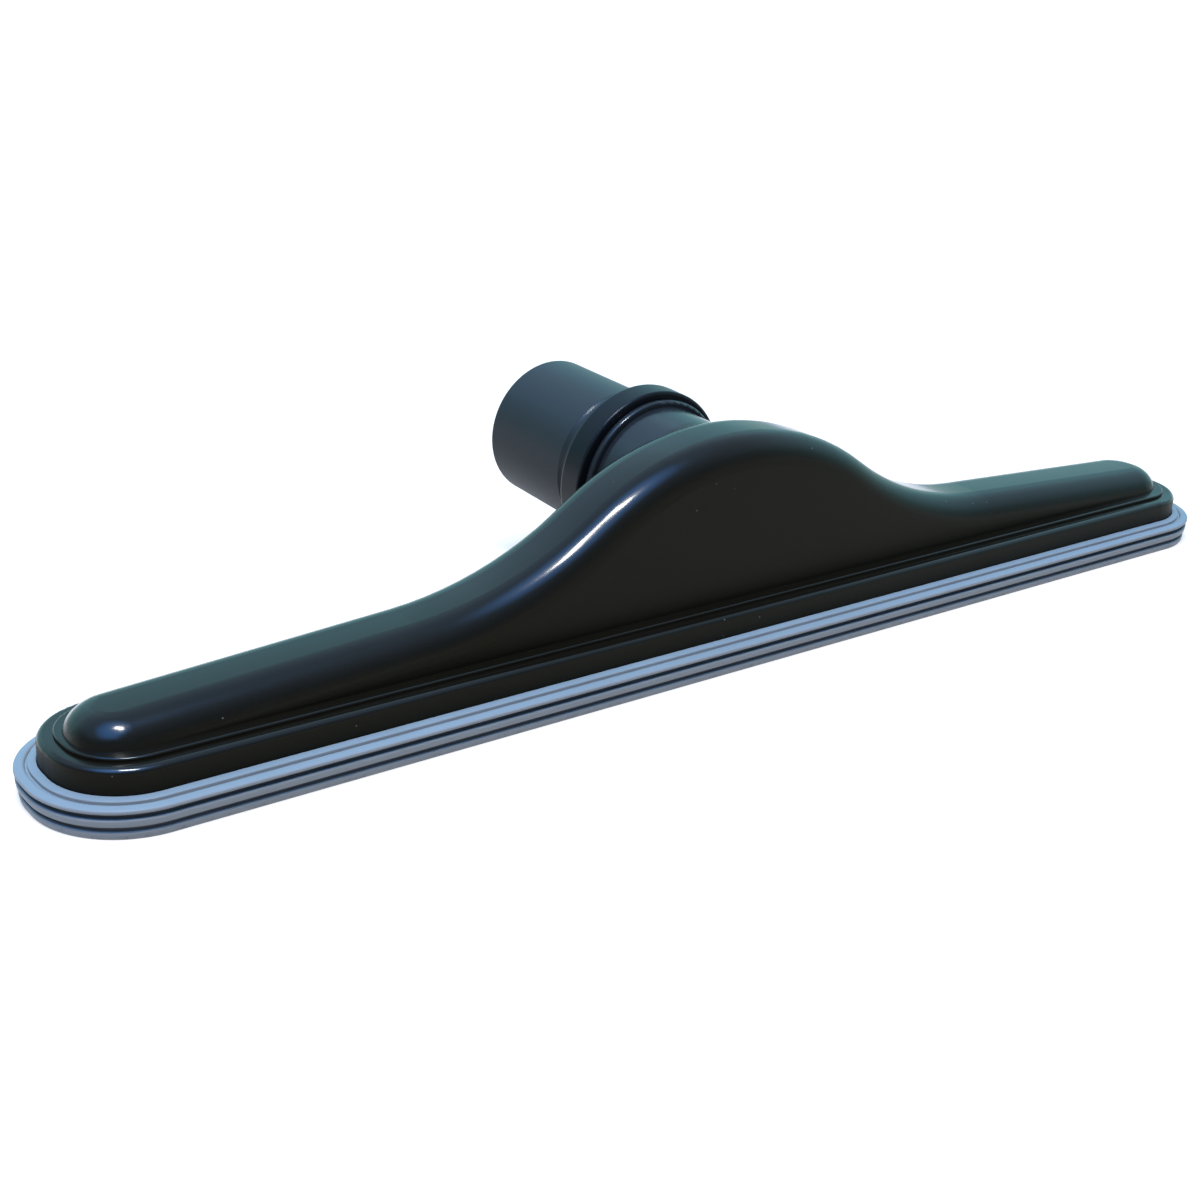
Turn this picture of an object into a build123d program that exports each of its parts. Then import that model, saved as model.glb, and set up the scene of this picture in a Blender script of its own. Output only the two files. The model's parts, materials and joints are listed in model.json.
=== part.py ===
from build123d import *
import os
from math import atan2, cos, radians, sin, sqrt, tan

# Vacuum gulper tool, in millimetres.
# X runs along the tool, Y from its front towards the wand, Z up from the floor.

# Flange: the lowest tier of the moulded body, a long rounded rectangle.
flange_length = 406.0
flange_width = 42.8
flange_end_flat = 3.4
flange_top = 15.5
flange_edge_radius = 1.7
rim_bottom = 2.4
shell_wall = 2.6

# Wing: the long hollow ridge on the flange, set back by a ledge all round.
ledge_side = 8.0
ledge_end = 5.3
wing_end_rise = 6.85
wing_slope = 3.5
ridge_flat = 9.4
wing_end_flat = 1.6
plinth_ledge_side = 4.1
plinth_ledge_end = 4.0
plinth_end_flat = 3.4
plinth_height = 1.0
plinth_edge_radius = 0.5

# Hump: the bell in the middle of the wing, a crown arc that runs into two foot arcs.
crown_cover = 2.75
crown_radius = 86.0
foot_radius = 109.0

# Neck: the tube that leaves the back of the hump and carries the cuff.
neck_diameter = 46.5
neck_sink = 1.3
neck_tilt = 2.9
stop_ring_width = 2.3
stop_ring_height = 1.9
stop_ring_edge = 0.8
stop_ring_gap = 0.4
snap_bead_radius = 0.8
snap_bead_setback = 4.6

# Cuff: the swivel sleeve that takes the wand, with a wide collar over the neck.
wand_diameter = 38.1
wand_clearance = 0.15
socket_depth = 42.1
cuff_wall = 2.8
cuff_taper = 0.4
cuff_rim_radius = 0.6
stop_web = 3.4
stop_lip = 1.4
collar_start = 32.4
collar_pocket = 7.8
collar_wall = 3.9
collar_edge_radius = 1.8
collar_face_radius = 0.9
shoulder_wall = 1.6
shoulder_crease = 0.6
swivel_clearance = 0.08
snap_clearance = 0.3
neck_end_clearance = 0.4

# Bumper: the ribbed soft strip that grips the lower rim of the body.
bumper_height = 9.1
slot_clearance = 0.15
slot_lip = 2.0
slot_lip_top = 7.4
ledge_reach = 2.3
ledge_fall = 0.45
fine_groove_width = 0.6
fine_groove_depth = 0.45
upper_rib_reach = 5.6
rib_lean = 0.55
groove_height = 0.8
groove_depth = 1.1
rib_bulge = 0.25
lower_rib_height = 2.65
middle_rib_height = 2.55
upper_rib_face = 0.6
foot_edge_radius = 0.7

# Sizes worked out from the driving dimensions.
wing_length = flange_length - 2 * ledge_end
wing_width = flange_width - 2 * ledge_side
plinth_length = flange_length - 2 * plinth_ledge_end
plinth_width = flange_width - 2 * plinth_ledge_side
neck_radius = neck_diameter / 2
neck_axis_height = flange_top + neck_radius - neck_sink
crown_height = neck_axis_height + neck_radius + crown_cover
socket_radius = wand_diameter / 2 + wand_clearance
cuff_rim_outer = socket_radius + cuff_wall
collar_radius = neck_radius + swivel_clearance + collar_wall
collar_back = collar_start + collar_pocket
cuff_end = collar_back + stop_web + socket_depth
neck_end = collar_back - neck_end_clearance
snap_bead_place = neck_end - snap_bead_setback
bumper_half_width = flange_width / 2 + upper_rib_reach
cuff_reach = cuff_end * cos(radians(neck_tilt)) + cuff_rim_outer * sin(radians(neck_tilt))

# The origin lies on the floor, under the middle of the whole tool.
frame_place = Pos(0, (bumper_half_width - cuff_reach) / 2, 0)

# The neck frame starts on the body's middle plane, with its Z along the neck.
neck_frame = Plane(
    origin=(0, 0, neck_axis_height),
    x_dir=(1, 0, 0),
    z_dir=(0, cos(radians(neck_tilt)), sin(radians(neck_tilt))),
)


def flange_outline(outward):
    """The flange's plan, grown outward by a distance."""
    corner = (flange_width - flange_end_flat) / 2 + outward
    return RectangleRounded(flange_length + 2 * outward, flange_width + 2 * outward, corner)


def wing_profile(inset, floor):
    """The wing and hump seen from the front, pulled in by a wall thickness."""
    slope = radians(wing_slope)
    half = wing_length / 2
    root = flange_top + wing_end_rise + tan(slope) * half
    crown_centre = crown_height - crown_radius
    span = crown_radius + foot_radius
    drop = root + foot_radius / cos(slope) - crown_centre
    tilt = tan(slope)
    foot_x = (tilt * drop + sqrt(span**2 * (1 + tilt**2) - drop**2)) / (1 + tilt**2)
    foot_z = root - tilt * foot_x + foot_radius / cos(slope)
    crown = crown_radius - inset
    foot = foot_radius + inset
    lean = atan2(foot_x, foot_z - crown_centre)
    middle = (lean + slope) / 2
    meet = (crown * sin(lean), crown_centre + crown * cos(lean))
    sweep_through = (foot_x - foot * sin(middle), foot_z - foot * cos(middle))
    run_out = (foot_x - foot * sin(slope), foot_z - foot * cos(slope))
    tip = (half - inset, root - tilt * (half - inset) - inset / cos(slope))
    toe = (half - inset, floor)
    mirrored = [(-x, z) for x, z in (meet, sweep_through, run_out, tip, toe)]
    lines = [
        ThreePointArc(mirrored[0], (0, crown_height - inset), meet),
        ThreePointArc(meet, sweep_through, run_out),
        Line(run_out, tip),
        Line(tip, toe),
        Line(toe, mirrored[4]),
        Line(mirrored[4], mirrored[3]),
        Line(mirrored[3], mirrored[2]),
        ThreePointArc(mirrored[2], mirrored[1], mirrored[0]),
    ]
    return make_face(Curve() + lines)


def wing_solid(inset, floor):
    """Wing and hump with round ends and a full rounding along the ridge."""
    half_width = wing_width / 2 - inset
    half_length = wing_length / 2 - inset
    solid = extrude(Plane.XZ * wing_profile(inset, floor), half_width, both=True)
    corner = half_width - wing_end_flat / 2
    solid = fillet(solid.edges().filter_by(Axis.Z), corner)
    rounding = half_width - ridge_flat / 2
    above = solid.edges().filter_by(lambda edge: edge.bounding_box().min.Z > floor + rounding / 2)
    rim = above.filter_by(
        lambda edge: abs(edge.center().Y) > half_width / 4 or abs(edge.center().X) > half_length - corner / 4
    )
    return fillet(rim, rounding)


def body_shell():
    """The moulded body: flange, plinth, wing, hump and neck, hollow and open below."""
    flange = Pos(0, 0, rim_bottom) * extrude(flange_outline(0), flange_top - rim_bottom)
    flange = fillet(flange.faces().sort_by(Axis.Z)[-1].edges(), flange_edge_radius)
    plinth_plan = RectangleRounded(plinth_length, plinth_width, (plinth_width - plinth_end_flat) / 2)
    plinth = Pos(0, 0, flange_top - shell_wall / 2) * extrude(plinth_plan, shell_wall / 2 + plinth_height)
    plinth = fillet(plinth.faces().sort_by(Axis.Z)[-1].edges(), plinth_edge_radius)
    wing = wing_solid(0, rim_bottom)
    ring_centre = collar_start - stop_ring_gap - stop_ring_width / 2
    ring = Pos(0, 0, ring_centre) * Cylinder(neck_radius + stop_ring_height, stop_ring_width)
    ring = fillet(ring.edges(), stop_ring_edge)
    bead = Pos(0, 0, snap_bead_place) * Torus(neck_radius, snap_bead_radius)
    neck = extrude(Circle(neck_radius), neck_end)
    neck = neck_frame * (neck + ring + bead)
    outside = flange + plinth + wing + neck
    mouth = extrude(flange_outline(-shell_wall), flange_top - shell_wall)
    hollow = wing_solid(shell_wall, rim_bottom - shell_wall)
    airway = neck_frame * extrude(Circle(neck_radius - shell_wall), neck_end + shell_wall)
    return outside - mouth - hollow - airway


def bumper_section():
    """The bumper's cut: X is the distance out from the flange wall, Y the height."""
    grooves = [
        (lower_rib_height, lower_rib_height + groove_height),
        (
            lower_rib_height + groove_height + middle_rib_height,
            lower_rib_height + 2 * groove_height + middle_rib_height,
        ),
    ]
    shoulder = grooves[1][1] + upper_rib_face
    fine_start = ledge_reach
    fine_end = ledge_reach + fine_groove_width
    ledge_low = bumper_height - ledge_fall
    rib_height = lower_rib_height + groove_height

    def reach(height):
        return upper_rib_reach - rib_lean * max(shoulder - height, 0) / rib_height

    inner = -shell_wall - slot_clearance
    toe = reach(foot_edge_radius)
    corner = foot_edge_radius * (1 - sin(radians(45)))
    lines = []
    low = foot_edge_radius
    for bottom, top in grooves:
        bulge = (reach((low + bottom) / 2) + rib_bulge, (low + bottom) / 2)
        lines.append(ThreePointArc((reach(low), low), bulge, (reach(bottom), bottom)))
        floor = reach(bottom) - groove_depth
        lines.append(Polyline((reach(bottom), bottom), (floor, bottom), (floor, top), (reach(top), top)))
        low = top
    rib_top = (fine_end, ledge_low)
    crest_x = fine_end + (upper_rib_reach - fine_end) * cos(radians(45))
    crest_z = shoulder + (ledge_low - shoulder) * sin(radians(45))
    lines += [
        Line((reach(low), low), (upper_rib_reach, shoulder)),
        ThreePointArc((upper_rib_reach, shoulder), (crest_x, crest_z), rib_top),
        Polyline(
            rib_top,
            (fine_end, ledge_low - fine_groove_depth),
            (fine_start, ledge_low - fine_groove_depth),
            (fine_start, ledge_low),
            (slot_clearance, bumper_height),
            (slot_clearance, rim_bottom),
            (inner, rim_bottom),
            (inner, slot_lip_top),
            (inner - slot_lip, slot_lip_top),
            (inner - slot_lip, 0),
            (toe - foot_edge_radius, 0),
        ),
        ThreePointArc((toe - foot_edge_radius, 0), (toe - corner, corner), (toe, foot_edge_radius)),
    ]
    return make_face(Curve() + lines)


def bumper():
    """The soft strip: one section carried round the flange's plan."""
    path = flange_outline(0).wire()
    start = path @ 0
    heading = path % 0
    outward = heading.cross(Vector(0, 0, 1))
    if outward.dot(start) < 0:
        outward = outward * -1
    cut = Plane(origin=start, x_dir=outward, z_dir=outward.cross(Vector(0, 0, 1)))
    return sweep(cut * bumper_section(), path=path)


def circle_edge(solid, radius, place):
    """The round edge of a turned piece nearest to a radius and a place along its axis."""
    circles = solid.edges().filter_by(GeomType.CIRCLE)
    return circles.sort_by(lambda edge: abs(edge.radius - radius) + abs(edge.arc_center.Z - place))[0]


def swivel_cuff():
    """The turned sleeve: wand socket, stop web, shoulder and collar with its snap groove."""
    shoulder = collar_back + shoulder_wall
    tube_root = cuff_rim_outer + cuff_taper
    pocket = neck_radius + swivel_clearance
    web = collar_back + stop_web
    outline = Polyline(
        (pocket, collar_start),
        (collar_radius, collar_start),
        (collar_radius, shoulder),
        (tube_root, shoulder),
        (cuff_rim_outer, cuff_end),
        (socket_radius, cuff_end),
        (socket_radius, web),
        (socket_radius - stop_lip, web),
        (socket_radius - stop_lip, collar_back),
        (pocket, collar_back),
        close=True,
    )
    solid = revolve(Plane.XZ * make_face(outline), Axis.Z)
    solid = fillet(circle_edge(solid, collar_radius, shoulder), collar_edge_radius)
    solid = fillet(circle_edge(solid, collar_radius, collar_start), collar_face_radius)
    solid = fillet(circle_edge(solid, tube_root, shoulder), shoulder_crease)
    solid = fillet(circle_edge(solid, cuff_rim_outer, cuff_end), cuff_rim_radius)
    groove_width = 2 * (snap_bead_radius + snap_clearance)
    groove = Cylinder(neck_radius + snap_bead_radius + snap_clearance, groove_width)
    return neck_frame * (solid - Pos(0, 0, snap_bead_place) * groove)


os.makedirs("parts", exist_ok=True)
nodes = {"body_shell": body_shell(), "bumper": bumper(), "swivel_cuff": swivel_cuff()}
for name, solid in nodes.items():
    export_step(frame_place * solid, f"parts/{name}.step")
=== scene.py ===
import json
import math

import bmesh
import bpy
from mathutils import Matrix, Vector


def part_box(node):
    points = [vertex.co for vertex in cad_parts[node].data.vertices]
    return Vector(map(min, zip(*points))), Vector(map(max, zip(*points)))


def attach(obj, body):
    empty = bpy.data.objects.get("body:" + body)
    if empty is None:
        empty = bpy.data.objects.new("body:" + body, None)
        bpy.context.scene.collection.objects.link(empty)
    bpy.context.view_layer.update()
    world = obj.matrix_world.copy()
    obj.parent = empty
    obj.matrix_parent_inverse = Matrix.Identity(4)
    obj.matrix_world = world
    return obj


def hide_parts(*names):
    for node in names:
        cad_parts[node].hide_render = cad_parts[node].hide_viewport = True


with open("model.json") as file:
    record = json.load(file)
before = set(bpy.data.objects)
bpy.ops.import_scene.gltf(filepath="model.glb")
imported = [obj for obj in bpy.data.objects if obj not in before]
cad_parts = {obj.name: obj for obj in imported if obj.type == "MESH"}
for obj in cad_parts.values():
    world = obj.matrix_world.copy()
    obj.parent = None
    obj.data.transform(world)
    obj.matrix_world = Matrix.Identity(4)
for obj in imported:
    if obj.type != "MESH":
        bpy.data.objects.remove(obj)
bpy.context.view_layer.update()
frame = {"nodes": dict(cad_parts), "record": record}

MM = 0.001

# The tool's own measures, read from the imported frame.
bumper_low, bumper_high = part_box("bumper")
flange_half_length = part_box("body_shell")[1][0]
middle_y = (bumper_low[1] + bumper_high[1]) / 2
rib_reach = bumper_high[0] - flange_half_length
flange_half_width = (bumper_high[1] - bumper_low[1]) / 2 - rib_reach
bumper_top = bumper_high[2]
swivel = frame["record"]["behaviour"]["joints"][0]
neck_axis = Vector(swivel["axis"])
neck_point = Vector(swivel["pos_m"])

# The bumper's section, outwards from the flange wall and up from the floor.
flange_corner = 19.7 * MM
lower_ribs = 2
rib_height = 2.20 * MM
rib_lean = 0.55 * MM
rib_foot_leans = 1.9  # how many leans the lowest rib's foot stands back
rib_head_leans = 1.2  # and its head
rib_edge = 0.55 * MM
rib_root = 1.0 * MM  # how deep the ribs run into the core
groove_height = 1.20 * MM
groove_depth = 1.20 * MM
crest_edge = 1.25 * MM
crest_fall = 0.8 * MM
ledge_reach = 2.30 * MM
ledge_fall = 0.45 * MM
ledge_edge = 0.2 * MM
ledge_root = 1.0 * MM
fine_groove = 0.55 * MM
fine_depth = 0.45 * MM
wall_gap = 0.15 * MM
core_edge = 0.1 * MM
core_inset = 0.6 * MM
core_sink = 1.2 * MM
rim_seat = 2.40 * MM
lip_reach = 4.75 * MM
lip_inner = 2.75 * MM
lip_foot = 1.0 * MM
lip_top = 7.40 * MM
lip_edge = 0.3 * MM
sole_overlap = 0.4 * MM

# Borders of the body's finish as (start, end), from its middle line and from the floor.
neck_start = (13.8 * MM, 15.0 * MM)
neck_foot = (16.6 * MM, 17.2 * MM)
wing_front = (-17.0 * MM, -14.0 * MM)
wing_ridge = (-6.0 * MM, 6.0 * MM)

# Borders of the cuff's finish, from the swivel's point towards the open end.
collar_end = (5.0 * MM, 5.8 * MM)
crease_start = (4.3 * MM, 4.8 * MM)
crease_end = (6.1 * MM, 6.6 * MM)
dip_rise = (10.4 * MM, 13.2 * MM)
dip_depth = 1.10 * MM
ring_start = (9.8 * MM, 10.6 * MM)
ring_end = (12.6 * MM, 13.6 * MM)

# Directions in the studio, seen from the tool.
rear_way = (0.61, 0.79, 0.0)
glow_way = (-0.25, 0.10, 0.963)
halo_way = (-0.26, -0.20, 0.945)


class Flow:
    """A node socket. Arithmetic on it adds Math nodes to its tree."""

    def __init__(self, tree, socket=None):
        self.tree = tree
        self.socket = socket

    def make(self, kind, settings=None, inputs=None, out=0):
        """Adds any node: its settings first, then the values or links of its sockets."""
        node = self.tree.nodes.new(kind)
        for name, value in (settings or {}).items():
            if name == "stops":
                set_stops(node.color_ramp, value)
            else:
                setattr(node, name, value)
        for key, value in (inputs or {}).items():
            if isinstance(value, Flow):
                self.tree.links.new(value.socket, node.inputs[key])
            else:
                node.inputs[key].default_value = value
        return Flow(self.tree, node.outputs[out])

    def math(self, operation, left, right):
        return self.make("ShaderNodeMath", {"operation": operation}, {0: left, 1: right})

    def __add__(self, other):
        return self.math("ADD", self, other)

    def __radd__(self, other):
        return self.math("ADD", other, self)

    def __sub__(self, other):
        return self.math("SUBTRACT", self, other)

    def __rsub__(self, other):
        return self.math("SUBTRACT", other, self)

    def __mul__(self, other):
        return self.math("MULTIPLY", self, other)

    def __rmul__(self, other):
        return self.math("MULTIPLY", other, self)

    def __gt__(self, other):
        return self.math("GREATER_THAN", self, other)

    def __lt__(self, other):
        return self.math("LESS_THAN", self, other)

    def ramp(self, low, high):
        """0 below low, 1 above high and smooth between them."""
        return self.make(
            "ShaderNodeMapRange",
            {"interpolation_type": "SMOOTHSTEP"},
            {"Value": self, "From Min": low, "From Max": high, "To Min": 0.0, "To Max": 1.0},
        )

    def band(self, start, end):
        """1 between two soft borders and 0 outside them."""
        return self.ramp(*start) * (1.0 - self.ramp(*end))


def set_stops(color_ramp, stops):
    """Gives a colour ramp its stops, as (place, colour) pairs."""
    while len(color_ramp.elements) < len(stops):
        color_ramp.elements.new(1.0)
    for element, (place, colour) in zip(color_ramp.elements, stops):
        element.position = place
        element.color = colour


def rgb(red, green, blue):
    """A full colour, as sockets and ramps take it."""
    return (red, green, blue, 1.0)


def new_material(name, constants):
    """A Principled material with its constant sockets set, its shader and its tree as a Flow."""
    material = bpy.data.materials.new(name)
    material.use_nodes = True
    shader = material.node_tree.nodes["Principled BSDF"]
    for socket, value in constants.items():
        shader.inputs[socket].default_value = value
    return material, shader, Flow(material.node_tree)


def link(material, shader, **sockets):
    """Feeds varying values to the shader's sockets, underscores standing for spaces."""
    for name, flow in sockets.items():
        material.node_tree.links.new(flow.socket, shader.inputs[name.replace("_", " ")])


def object_place(flow):
    """The Object coordinates of a surface point, in metres."""
    return flow.make("ShaderNodeTexCoord", out="Object")


def axis_of(flow, vector, axis):
    """One coordinate of a vector: X, Y or Z."""
    return flow.make("ShaderNodeSeparateXYZ", inputs={0: vector}, out=axis)


def up_facing(flow):
    """How far a surface looks up: 1 on level tops, 0 on upright walls."""
    return axis_of(flow, flow.make("ShaderNodeTexCoord", out="Normal"), "Z")


def dot(flow, first, second):
    """The dot product of two vectors."""
    settings = {"operation": "DOT_PRODUCT"}
    return flow.make("ShaderNodeVectorMath", settings, {0: first, 1: second}, out="Value")


def light_path(flow, kind):
    """1 for one kind of light ray and 0 for all others."""
    return flow.make("ShaderNodeLightPath", out=kind)


def noise(flow, vector, scale, detail, roughness=0.55):
    """A cloudy pattern between 0 and 1."""
    inputs = {"Vector": vector, "Scale": scale, "Detail": detail, "Roughness": roughness}
    return flow.make("ShaderNodeTexNoise", inputs=inputs)


def mix_colour(flow, factor, first, second):
    """Goes from the first colour to the second as the factor goes from 0 to 1."""
    inputs = {0: factor, 6: first, 7: second}
    return flow.make("ShaderNodeMix", {"data_type": "RGBA"}, inputs, out=2)


def bump(flow, height, strength, distance, under=None):
    """A relief as a shading normal, on top of another one where that is given."""
    inputs = {"Height": height, "Strength": strength, "Distance": distance}
    if under is not None:
        inputs["Normal"] = under
    return flow.make("ShaderNodeBump", inputs=inputs)


def dust_specks(flow, place, density, size):
    """Sparse pale specks: near the centres of a few cells of a Voronoi pattern."""
    cells = {"Vector": place, "Scale": density, "Randomness": 1.0}
    distance = flow.make("ShaderNodeTexVoronoi", {"feature": "F1"}, cells, out="Distance")
    pick = flow.make("ShaderNodeTexVoronoi", {"feature": "F1"}, cells, out="Color")
    chosen = axis_of(flow, pick, "X") > 0.70
    spread = 1.0 - distance.ramp(size * 0.35, size)
    return spread * chosen


def gloss_black():
    """The body: black moulding, glossy on wing and flange, duller on the neck."""
    constants = {
        "IOR": 1.46,
        "Specular IOR Level": 0.13,
        "Specular Tint": rgb(1.0, 0.92, 0.66),
        "Coat Roughness": 0.14,
        "Coat IOR": 1.5,
    }
    deep_black, soft_black = rgb(0.0066, 0.0056, 0.0034), rgb(0.0095, 0.0082, 0.0052)
    neck_black, dust = rgb(0.0180, 0.0230, 0.0270), rgb(0.34, 0.35, 0.34)
    material, shader, flow = new_material("gloss_black_moulding", constants)
    place = object_place(flow)
    along = axis_of(flow, place, "Y") - middle_y
    height = axis_of(flow, place, "Z")
    facing_up = up_facing(flow)
    neck = along.ramp(*neck_start) * height.ramp(*neck_foot)
    cloud = noise(flow, place, scale=34.0, detail=4.0)
    grain = noise(flow, place, scale=1900.0, detail=2.0)
    peel = noise(flow, place, scale=260.0, detail=2.0)
    specks = dust_specks(flow, place, density=160.0, size=0.050)
    tone = mix_colour(flow, cloud, deep_black, soft_black)
    tone = mix_colour(flow, neck, tone, neck_black)
    colour = mix_colour(flow, specks * 0.40, tone, dust)
    upright = 1.0 - facing_up.ramp(0.10, 0.70)
    roughness = 0.18 + cloud * 0.08 + upright * 0.24 + neck * 0.10 + specks * 0.2
    relief = peel * 0.55 + grain * (0.12 + neck * 0.5)
    normal = bump(flow, relief, strength=0.05, distance=0.3 * MM)
    # The polish is strongest on the roundings, less on level tops and on the ridge's front.
    level = facing_up.ramp(0.965, 0.998)
    front = along.band(wing_front, wing_ridge)
    worn = (1.0 - level * 0.34) * (1.0 - front * 0.30)
    polish = facing_up.ramp(0.12, 0.72) * (0.84 + cloud * 0.16) * worn
    link(material, shader, Base_Color=colour, Roughness=roughness)
    link(material, shader, Normal=normal, Coat_Weight=polish)
    return material


def satin_black():
    """The cuff: finely etched tube with a smoother collar at the body end."""
    constants = {
        "IOR": 1.46,
        "Specular IOR Level": 0.20,
        "Coat Roughness": 0.34,
        "Coat IOR": 1.5,
    }
    deep_black, soft_black = rgb(0.0150, 0.0180, 0.0210), rgb(0.0205, 0.0240, 0.0275)
    collar_black, painted_crease_shade = rgb(0.0070, 0.0090, 0.0110), rgb(0.0060, 0.0065, 0.0070)
    dust = rgb(0.30, 0.31, 0.30)
    material, shader, flow = new_material("satin_black_moulding", constants)
    place = object_place(flow)
    from_swivel = {0: place, 1: neck_point}
    offset = flow.make("ShaderNodeVectorMath", {"operation": "SUBTRACT"}, from_swivel)
    along = dot(flow, offset, neck_axis)
    collar = 1.0 - along.ramp(*collar_end)
    crease = along.band(crease_start, crease_end)
    ring = along.band(ring_start, ring_end)
    cloud = noise(flow, place, scale=40.0, detail=4.0)
    etch = noise(flow, place, scale=2300.0, detail=3.0, roughness=0.7)
    specks = dust_specks(flow, place, density=110.0, size=0.045)
    tone = mix_colour(flow, cloud, deep_black, soft_black)
    tone = mix_colour(flow, collar, tone, collar_black)
    # Painted shade darkens the crease between the tube and the collar.
    tone = mix_colour(flow, crease * 0.8, tone, painted_crease_shade)
    colour = mix_colour(flow, specks * 0.5, tone, dust)
    roughness = 0.42 + cloud * 0.10 - collar * 0.16 + crease * 0.5 - ring * 0.24
    relief = etch * (1.0 - collar * 0.8) + cloud * 0.2
    normal = bump(flow, relief, strength=0.16, distance=0.2 * MM)
    # A shallow dip round the tube, which catches the lamp behind the collar.
    normal = bump(flow, along.ramp(*dip_rise), strength=1.0, distance=dip_depth, under=normal)
    upper = up_facing(flow).ramp(-0.10, 0.90)
    polish = upper * (1.0 - collar * 0.75) * (1.0 - crease) * 0.75
    link(material, shader, Base_Color=colour, Roughness=roughness)
    link(material, shader, Normal=normal, Coat_Weight=polish)
    return material


def grey_vinyl():
    """The bumper: grey soft vinyl, dirtier along the floor, with painted shade and dirt in its
    grooves and a painted bluish skylight on its upward faces.
    """
    constants = {"IOR": 1.48, "Specular IOR Level": 0.42}
    deep_grey, soft_grey = rgb(0.286, 0.290, 0.292), rgb(0.354, 0.358, 0.358)
    deep_painted_skylight, soft_painted_skylight = rgb(0.250, 0.326, 0.372), rgb(0.300, 0.376, 0.422)
    grime_and_shade = rgb(0.042, 0.044, 0.056)
    material, shader, flow = new_material("grey_vinyl", constants)
    place = object_place(flow)
    height = axis_of(flow, place, "Z")
    cloud = noise(flow, place, scale=55.0, detail=5.0)
    stain = noise(flow, place, scale=420.0, detail=4.0, roughness=0.65)
    grain = noise(flow, place, scale=2600.0, detail=2.0)
    tone = mix_colour(flow, cloud, deep_grey, soft_grey)
    # Upward faces take a bluish painted skylight, a lighter tint that stands in for light from
    # above.
    painted_skylight = mix_colour(flow, cloud, deep_painted_skylight, soft_painted_skylight)
    tone = mix_colour(flow, up_facing(flow).ramp(0.50, 0.98), tone, painted_skylight)
    dirt_and_groove_shade = (1.0 - height.ramp(0.2 * MM, 2.2 * MM)) * stain.ramp(0.45, 0.75) * 0.35
    # Each groove is darkened by painted shade mixed with dirt.
    for index in range(lower_ribs):
        groove_low = rib_height * (index + 1) + groove_height * index
        groove_high = groove_low + groove_height
        start = (groove_low - 0.12 * MM, groove_low + 0.06 * MM)
        end = (groove_high - 0.05 * MM, groove_high + 0.10 * MM)
        dirt_and_groove_shade = dirt_and_groove_shade + height.band(start, end) * 0.84
    colour = mix_colour(flow, dirt_and_groove_shade, tone, grime_and_shade)
    roughness = 0.40 + cloud * 0.16 + dirt_and_groove_shade * 0.15
    normal = bump(flow, cloud * 0.5 + grain * 0.25, strength=0.14, distance=0.3 * MM)
    link(material, shader, Base_Color=colour, Roughness=roughness, Normal=normal)
    return material


def tree_input(tree, name, value):
    """Adds a named length to a geometry tree and returns the identifier of its socket."""
    socket = tree.interface.new_socket(name, in_out="INPUT", socket_type="NodeSocketFloat")
    socket.default_value = value
    return socket.identifier


def geometry_tree(name, sizes):
    """A geometry tree with named size inputs: (tree, its flow, sizes as flows, identifiers)."""
    tree = bpy.data.node_groups.new(name, "GeometryNodeTree")
    tree.interface.new_socket("Geometry", in_out="OUTPUT", socket_type="NodeSocketGeometry")
    identifiers = {label: tree_input(tree, label, value) for label, value in sizes.items()}
    group = tree.nodes.new("NodeGroupInput")
    flows = {label: Flow(tree, group.outputs[label]) for label in sizes}
    return tree, Flow(tree), flows, identifiers


def face_outwards(mesh):
    """Closes the sweep's seams and turns every face to the outside."""
    shape = bmesh.new()
    shape.from_mesh(mesh)
    bmesh.ops.remove_doubles(shape, verts=shape.verts, dist=0.001 * MM)
    bmesh.ops.recalc_face_normals(shape, faces=shape.faces)
    shape.to_mesh(mesh)
    shape.free()


def bake_tree(name, tree, identifiers, sizes):
    """Runs a geometry tree on an empty mesh and keeps the result as a plain mesh."""
    carrier = bpy.data.objects.new(name + "_carrier", bpy.data.meshes.new(name + "_carrier"))
    bpy.context.scene.collection.objects.link(carrier)
    modifier = carrier.modifiers.new("shape", "NODES")
    modifier.node_group = tree
    for label, value in sizes.items():
        modifier[identifiers[label]] = value
    graph = bpy.context.evaluated_depsgraph_get()
    mesh = bpy.data.meshes.new_from_object(carrier.evaluated_get(graph))
    carrier.modifiers.remove(modifier)
    bpy.data.objects.remove(carrier)
    face_outwards(mesh)
    mesh.name = name
    piece = bpy.data.objects.new(name, mesh)
    bpy.context.scene.collection.objects.link(piece)
    return piece


def point(flow, across, up):
    """A point of a section: across is outwards from the flange wall, up is height."""
    return flow.make("ShaderNodeCombineXYZ", inputs={0: across, 1: -1.0 * up, 2: 0.0})


def round_corners(flow, curve, radius, count):
    """Rounds the corners of a curve, with a number of points on each."""
    inputs = {"Curve": curve, "Count": count, "Radius": radius, "Limit Radius": True}
    return flow.make("GeometryNodeFilletCurve", {"mode": "POLY"}, inputs)


def quad_section(flow, corners, radius, count):
    """A four-cornered section with rounded corners."""
    inputs = {f"Point {index + 1}": point(flow, *corner) for index, corner in enumerate(corners)}
    quad = flow.make("GeometryNodeCurvePrimitiveQuadrilateral", {"mode": "POINTS"}, inputs)
    return round_corners(flow, quad, radius, count)


def flange_plan(flow, size):
    """The flange's plan, which the sections are carried round."""
    inputs = {
        "Width": size["flange half length"] * 2.0,
        "Height": size["flange half width"] * 2.0,
    }
    plan = flow.make("GeometryNodeCurvePrimitiveQuadrilateral", {"mode": "RECTANGLE"}, inputs)
    plan = round_corners(flow, plan, size["flange corner"], 40)
    return flow.make("GeometryNodeSetCurveNormal", {"mode": "Z_UP"}, {"Curve": plan})


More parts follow.
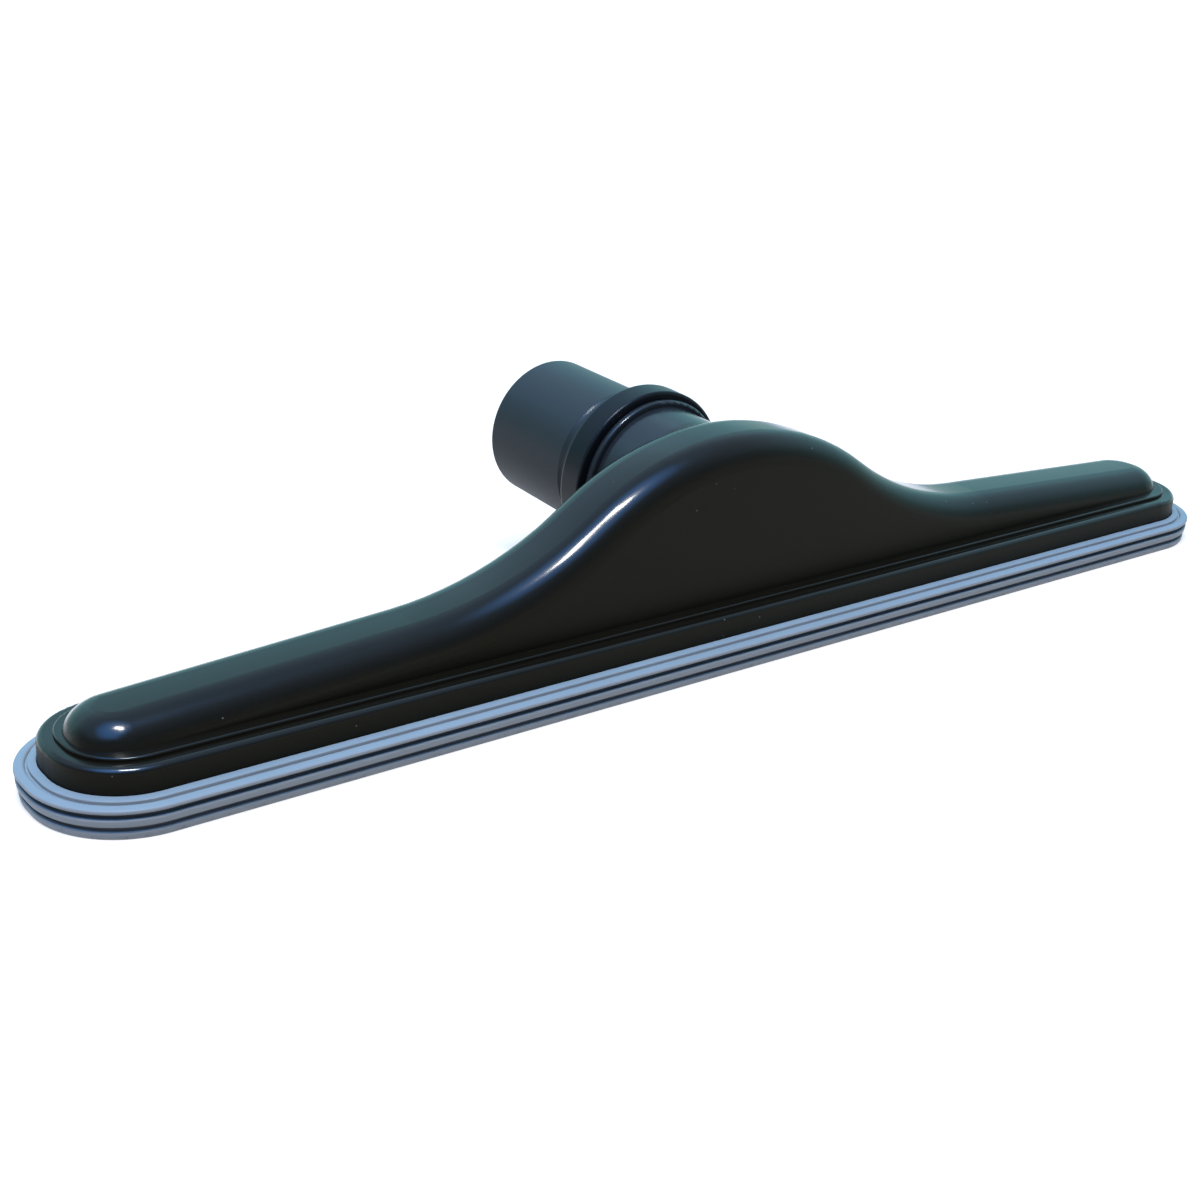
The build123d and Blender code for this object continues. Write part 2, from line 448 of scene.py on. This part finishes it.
def bumper_sections(size):
    """The strip's sections, as (corners, corner radius, points on each corner)."""
    pitch = size["rib height"] + size["groove height"]
    core = size["reach"] - size["groove depth"] - size["rib lean"]
    root = core - rib_root
    sections = []
    for index in range(lower_ribs):
        low = pitch * float(index)
        high = low + size["rib height"]
        foot = size["reach"] - size["rib lean"] * (rib_foot_leans - index)
        head = size["reach"] - size["rib lean"] * (rib_head_leans - index)
        corners = [(root, low), (foot, low), (head, high), (root, high)]
        sections.append((corners, size["rib edge"], 5))
    crest_low = pitch * float(lower_ribs)
    crest_high = size["top"] - ledge_fall
    crest_inner = ledge_reach + fine_groove
    crest = [
        (crest_inner, crest_low),
        (size["reach"], crest_low),
        (size["reach"], crest_high - crest_fall),
        (crest_inner, crest_high),
    ]
    sections.append((crest, size["crest edge"], 8))
    middle = [
        (wall_gap, rim_seat),
        (core, core_inset),
        (core, crest_high - fine_depth - core_inset),
        (wall_gap, size["top"] - core_sink),
    ]
    sections.append((middle, core_edge, 2))
    ledge_low = rim_seat + ledge_root
    ledge = [
        (wall_gap, ledge_low),
        (ledge_reach, ledge_low),
        (ledge_reach, crest_high),
        (wall_gap, size["top"]),
    ]
    sections.append((ledge, ledge_edge, 3))
    sole_end = core + sole_overlap
    sole = [(-lip_reach, 0.0), (sole_end, 0.0), (sole_end, rim_seat), (-lip_reach, rim_seat)]
    sections.append((sole, lip_edge, 3))
    lip = [
        (-lip_reach, lip_foot),
        (-lip_inner, lip_foot),
        (-lip_inner, lip_top),
        (-lip_reach, lip_top),
    ]
    sections.append((lip, lip_edge, 3))
    return sections


def ribbed_bumper(vinyl):
    """The strip: its sections carried round the flange's plan, as one piece."""
    sizes = {
        "flange half length": flange_half_length,
        "flange half width": flange_half_width,
        "flange corner": flange_corner,
        "rib height": rib_height,
        "groove height": groove_height,
        "groove depth": groove_depth,
        "rib lean": rib_lean,
        "rib edge": rib_edge,
        "crest edge": crest_edge,
        "reach": rib_reach,
        "top": bumper_top,
    }
    tree, flow, size, identifiers = geometry_tree("bumper_ribs", sizes)
    plan = flange_plan(flow, size)
    join = tree.nodes.new("GeometryNodeJoinGeometry")
    for corners, radius, count in bumper_sections(size):
        inputs = {"Curve": plan, "Profile Curve": quad_section(flow, corners, radius, count)}
        swept = flow.make("GeometryNodeCurveToMesh", inputs=inputs)
        tree.links.new(swept.socket, join.inputs[0])
    inputs = {"Geometry": Flow(tree, join.outputs[0]), "Translation": (0.0, middle_y, 0.0)}
    placed = flow.make("GeometryNodeTransform", inputs=inputs)
    inputs = {"Geometry": placed, "Shade Smooth": True}
    smooth = flow.make("GeometryNodeSetShadeSmooth", inputs=inputs)
    solid = flow.make("GeometryNodeRealizeInstances", inputs={0: smooth})
    inputs = {"Geometry": solid, "Material": vinyl}
    dressed = flow.make("GeometryNodeSetMaterial", inputs=inputs)
    output = tree.nodes.new("NodeGroupOutput")
    tree.links.new(dressed.socket, output.inputs[0])
    return bake_tree("ribbed_bumper", tree, identifiers, sizes)


def dress_node(name, material):
    """Gives a carried-over node its finish."""
    node = frame["nodes"][name]
    node.data.materials.clear()
    node.data.materials.append(material)


def towards(azimuth, elevation):
    """The direction of an azimuth, from +Y towards +X, and an elevation, in degrees."""
    a, e = math.radians(azimuth), math.radians(elevation)
    return Vector((math.sin(a) * math.cos(e), math.cos(a) * math.cos(e), math.sin(e)))


def set_camera():
    """The camera of the photograph: direction, roll and lens found from the tool's outline."""
    heading, drop, roll = 37.719, 21.737, math.radians(2.374)
    distance = 513.76 * MM
    target = Vector((-42.01 * MM, middle_y, 19.30 * MM))
    focal_pixels, picture_pixels = 1829.9, 1200.0
    ahead = towards(heading, -drop)
    right = towards(heading + 90.0, 0.0)
    up = right.cross(ahead)
    rolled_right = right * math.cos(roll) + up * math.sin(roll)
    rolled_up = up * math.cos(roll) - right * math.sin(roll)
    camera = bpy.data.objects.new("camera", bpy.data.cameras.new("camera"))
    camera.data.sensor_width = 36.0
    camera.data.lens = camera.data.sensor_width * focal_pixels / picture_pixels
    camera.data.clip_start = 0.01
    turn = Matrix((rolled_right, rolled_up, -ahead)).transposed().to_4x4()
    camera.matrix_world = Matrix.Translation(target - ahead * distance) @ turn
    bpy.context.scene.collection.objects.link(camera)
    bpy.context.scene.camera = camera


def add_lamp(name, azimuth, elevation, distance, size, watts, colour, mirrored=True):
    """A rectangular lamp that looks at the tool from a direction."""
    lamp = bpy.data.objects.new(name, bpy.data.lights.new(name, "AREA"))
    lamp.data.shape = "RECTANGLE"
    lamp.data.size, lamp.data.size_y = size
    lamp.data.energy = watts
    lamp.data.color = colour
    away = towards(azimuth, elevation)
    aim = Vector((0.0, middle_y, 20 * MM))
    lamp.location = aim + away * distance
    lamp.rotation_euler = away.to_track_quat("Z", "Y").to_euler()
    lamp.visible_glossy = mirrored
    bpy.context.scene.collection.objects.link(lamp)


def set_world():
    """Soft studio surroundings: a pale cool glow behind the tool, dimmer elsewhere."""
    world = bpy.data.worlds.new("studio")
    bpy.context.scene.world = world
    world.use_nodes = True
    flow = Flow(world.node_tree)
    direction = flow.make("ShaderNodeTexCoord", out="Generated")
    height = axis_of(flow, direction, "Z")
    rear = dot(flow, direction, rear_way).ramp(-0.3, 0.5)
    glossed = light_path(flow, "Is Glossy Ray")
    lit = [
        (0.0, rgb(1.0, 1.0, 1.0)),
        (0.055, rgb(1.0, 1.0, 1.0)),
        (0.11, rgb(0.48, 0.82, 0.86)),
        (0.18, rgb(0.34, 0.74, 0.83)),
        (0.30, rgb(0.30, 0.68, 0.80)),
        (0.46, rgb(0.38, 0.77, 0.95)),
        (0.60, rgb(0.42, 0.72, 0.95)),
        (0.73, rgb(0.38, 0.58, 0.80)),
        (0.84, rgb(0.32, 0.48, 0.68)),
        (1.0, rgb(0.19, 0.30, 0.47)),
    ]
    shaded = [
        (0.0, rgb(1.0, 1.0, 1.0)),
        (0.055, rgb(1.0, 1.0, 1.0)),
        (0.11, rgb(0.24, 0.29, 0.35)),
        (0.45, rgb(0.10, 0.16, 0.26)),
        (0.74, rgb(0.17, 0.28, 0.48)),
        (1.0, rgb(0.19, 0.30, 0.47)),
    ]
    far_side = flow.make("ShaderNodeValToRGB", {"stops": lit}, {0: height})
    near_side = flow.make("ShaderNodeValToRGB", {"stops": shaded}, {0: height})
    sky = mix_colour(flow, rear, near_side, far_side)
    glow = dot(flow, direction, glow_way).ramp(0.55, 1.0)
    sky = mix_colour(flow, glow * 0.6, sky, rgb(0.45, 0.80, 1.35))
    # Reflections see a stronger blue round the key lamp and a horizon that isn't white.
    halo = dot(flow, direction, halo_way).ramp(0.82, 1.0)
    sky = mix_colour(flow, halo * (0.30 + glossed * 0.48), sky, rgb(0.70, 2.40, 6.60))
    horizon = 1.0 - height.ramp(0.04, 0.20)
    sky = mix_colour(flow, horizon * rear * glossed * 0.9, sky, rgb(0.30, 0.62, 0.62))
    background = world.node_tree.nodes["Background"]
    world.node_tree.links.new(sky.socket, background.inputs["Color"])


def add_floor():
    """A wide pale floor that stays white to the camera and keeps the soft shadow."""
    side = 8.0
    corners = [(-side, -side, 0), (side, -side, 0), (side, side, 0), (-side, side, 0)]
    mesh = bpy.data.meshes.new("floor")
    mesh.from_pydata(corners, [], [(0, 1, 2, 3)])
    floor = bpy.data.objects.new("floor", mesh)
    bpy.context.scene.collection.objects.link(floor)
    material = bpy.data.materials.new("pale_floor")
    material.use_nodes = True
    tree = material.node_tree
    flow = Flow(tree)
    tree.nodes.remove(tree.nodes["Principled BSDF"])
    paper = flow.make("ShaderNodeBsdfDiffuse", inputs={"Color": rgb(0.52, 0.49, 0.45)})
    seen = light_path(flow, "Is Camera Ray")
    glossed = light_path(flow, "Is Glossy Ray")
    passed = light_path(flow, "Is Transmission Ray")
    white = flow.math("MAXIMUM", seen, flow.math("MAXIMUM", glossed, passed))
    place = object_place(flow)
    away = flow.make("ShaderNodeVectorMath", {"operation": "LENGTH"}, {0: place}, out="Value")
    # Further off it is whiter to the camera, but dimmer in reflections.
    strength = white * (0.66 + away.ramp(0.3, 1.6) * (0.34 - glossed * 0.85))
    inputs = {"Color": rgb(1.0, 1.0, 1.0), "Strength": strength}
    glow = flow.make("ShaderNodeEmission", inputs=inputs)
    both = flow.make("ShaderNodeAddShader", inputs={0: paper, 1: glow})
    tree.links.new(both.socket, tree.nodes["Material Output"].inputs["Surface"])
    mesh.materials.append(material)


def build():
    """Dresses the tool, then sets the studio round it."""
    dress_node("body_shell", gloss_black())
    dress_node("swivel_cuff", satin_black())
    bumper = ribbed_bumper(grey_vinyl())
    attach(bumper, "base")
    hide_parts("bumper")
    set_world()
    add_floor()
    add_lamp(
        "key",
        azimuth=-131.0,
        elevation=73.0,
        distance=1.3,
        size=(0.30, 0.13),
        watts=11.0,
        colour=(1.0, 0.97, 0.93),
    )
    add_lamp(
        "overhead",
        azimuth=20.0,
        elevation=82.0,
        distance=1.5,
        size=(1.6, 1.6),
        watts=2.5,
        colour=(0.80, 0.92, 1.0),
        mirrored=False,
    )
    set_camera()
    bpy.context.scene.view_settings.view_transform = "Standard"


build()
